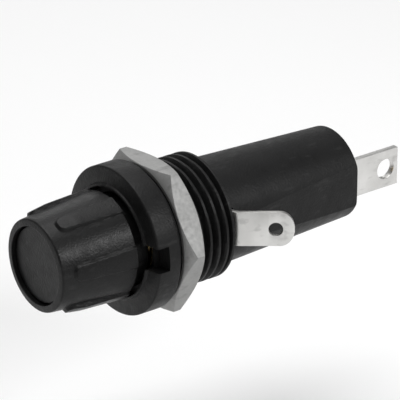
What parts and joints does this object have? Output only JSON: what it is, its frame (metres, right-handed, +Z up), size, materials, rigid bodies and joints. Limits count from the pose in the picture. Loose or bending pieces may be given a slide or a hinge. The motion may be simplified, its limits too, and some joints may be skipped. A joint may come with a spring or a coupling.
{
  "type": "cartridge fuse holder",
  "caption": "Panel-mount holder for a glass cartridge fuse: threaded black barrel with flange, hex nut, ribbed screw cap, side solder lug and end tab.",
  "frame": {"origin": "centre of the flange's rear face, on the fuse axis, where the holder seats on its panel", "axes": "+Y along the fuse axis from the cap to the end terminal; +X towards the side terminal; +Z up"},
  "size_m": [0.022, 0.0531, 0.0188],
  "materials": {
    "moulded_black": "satin black phenolic moulding",
    "knob_black": "satin black moulding, finely textured between the ribs",
    "washer_rubber": "dull black rubber",
    "nut_nickel": "satin nickel plate",
    "terminal_tin": "tinned, lightly brushed",
    "contact_brass": "plain brass",
    "spring_steel": "bright spring wire",
    "fuse_glass": "clear glass",
    "fuse_nickel": "nickel plate",
    "fuse_wire": "tinned wire",
    "solder": "dull solder"
  },
  "bodies": {
    "holder": {"body_moulding": "moulded_black", "side_contact_sleeve": "contact_brass", "side_terminal": "terminal_tin", "end_terminal": "terminal_tin", "end_contact_cup": "contact_brass", "end_contact_rivet": "contact_brass"},
    "washer": {"panel_washer": "washer_rubber"},
    "nut": {"hex_nut": "nut_nickel"},
    "fuse_carrier": {"fuse_glass_tube": "fuse_glass", "fuse_front_cap": "fuse_nickel", "fuse_rear_cap": "fuse_nickel", "fuse_element": "fuse_wire", "fuse_front_solder": "solder", "fuse_rear_solder": "solder", "cap_plunger": "contact_brass"},
    "spring_carrier": {"cap_spring": "spring_steel"},
    "cap": {"cap_knob": "knob_black", "cap_face_disc": "knob_black", "cap_ferrule": "contact_brass", "ferrule_rivet": "contact_brass"}
  },
  "joints": [
    {"name": "nut_travel", "type": "slide", "parent": "holder", "child": "washer", "axis": [0, 1, 0], "range_m": [0, 0.005]},
    {"name": "nut_turn", "type": "hinge", "parent": "washer", "child": "nut", "pos_m": [0, 0, 0], "axis": [0, 1, 0], "range_deg": [0, 1440.01]},
    {"name": "cap_withdraw", "type": "slide", "parent": "holder", "child": "fuse_carrier", "axis": [0, -1, 0], "range_m": [0, 0.034]},
    {"name": "cap_unscrew", "type": "slide", "parent": "fuse_carrier", "child": "spring_carrier", "axis": [0, -1, 0], "range_m": [0, 0.0045], "deforming": ["cap_spring"]},
    {"name": "cap_turn", "type": "hinge", "parent": "spring_carrier", "child": "cap", "pos_m": [0, 0, 0], "axis": [0, -1, 0], "range_deg": [0, 1080.01]}
  ],
  "couplings": [
    {"joint": "nut_turn", "follows": "nut_travel", "rad_per_m": 5026.5},
    {"joint": "cap_turn", "follows": "cap_unscrew", "rad_per_m": 4188.8}
  ]
}
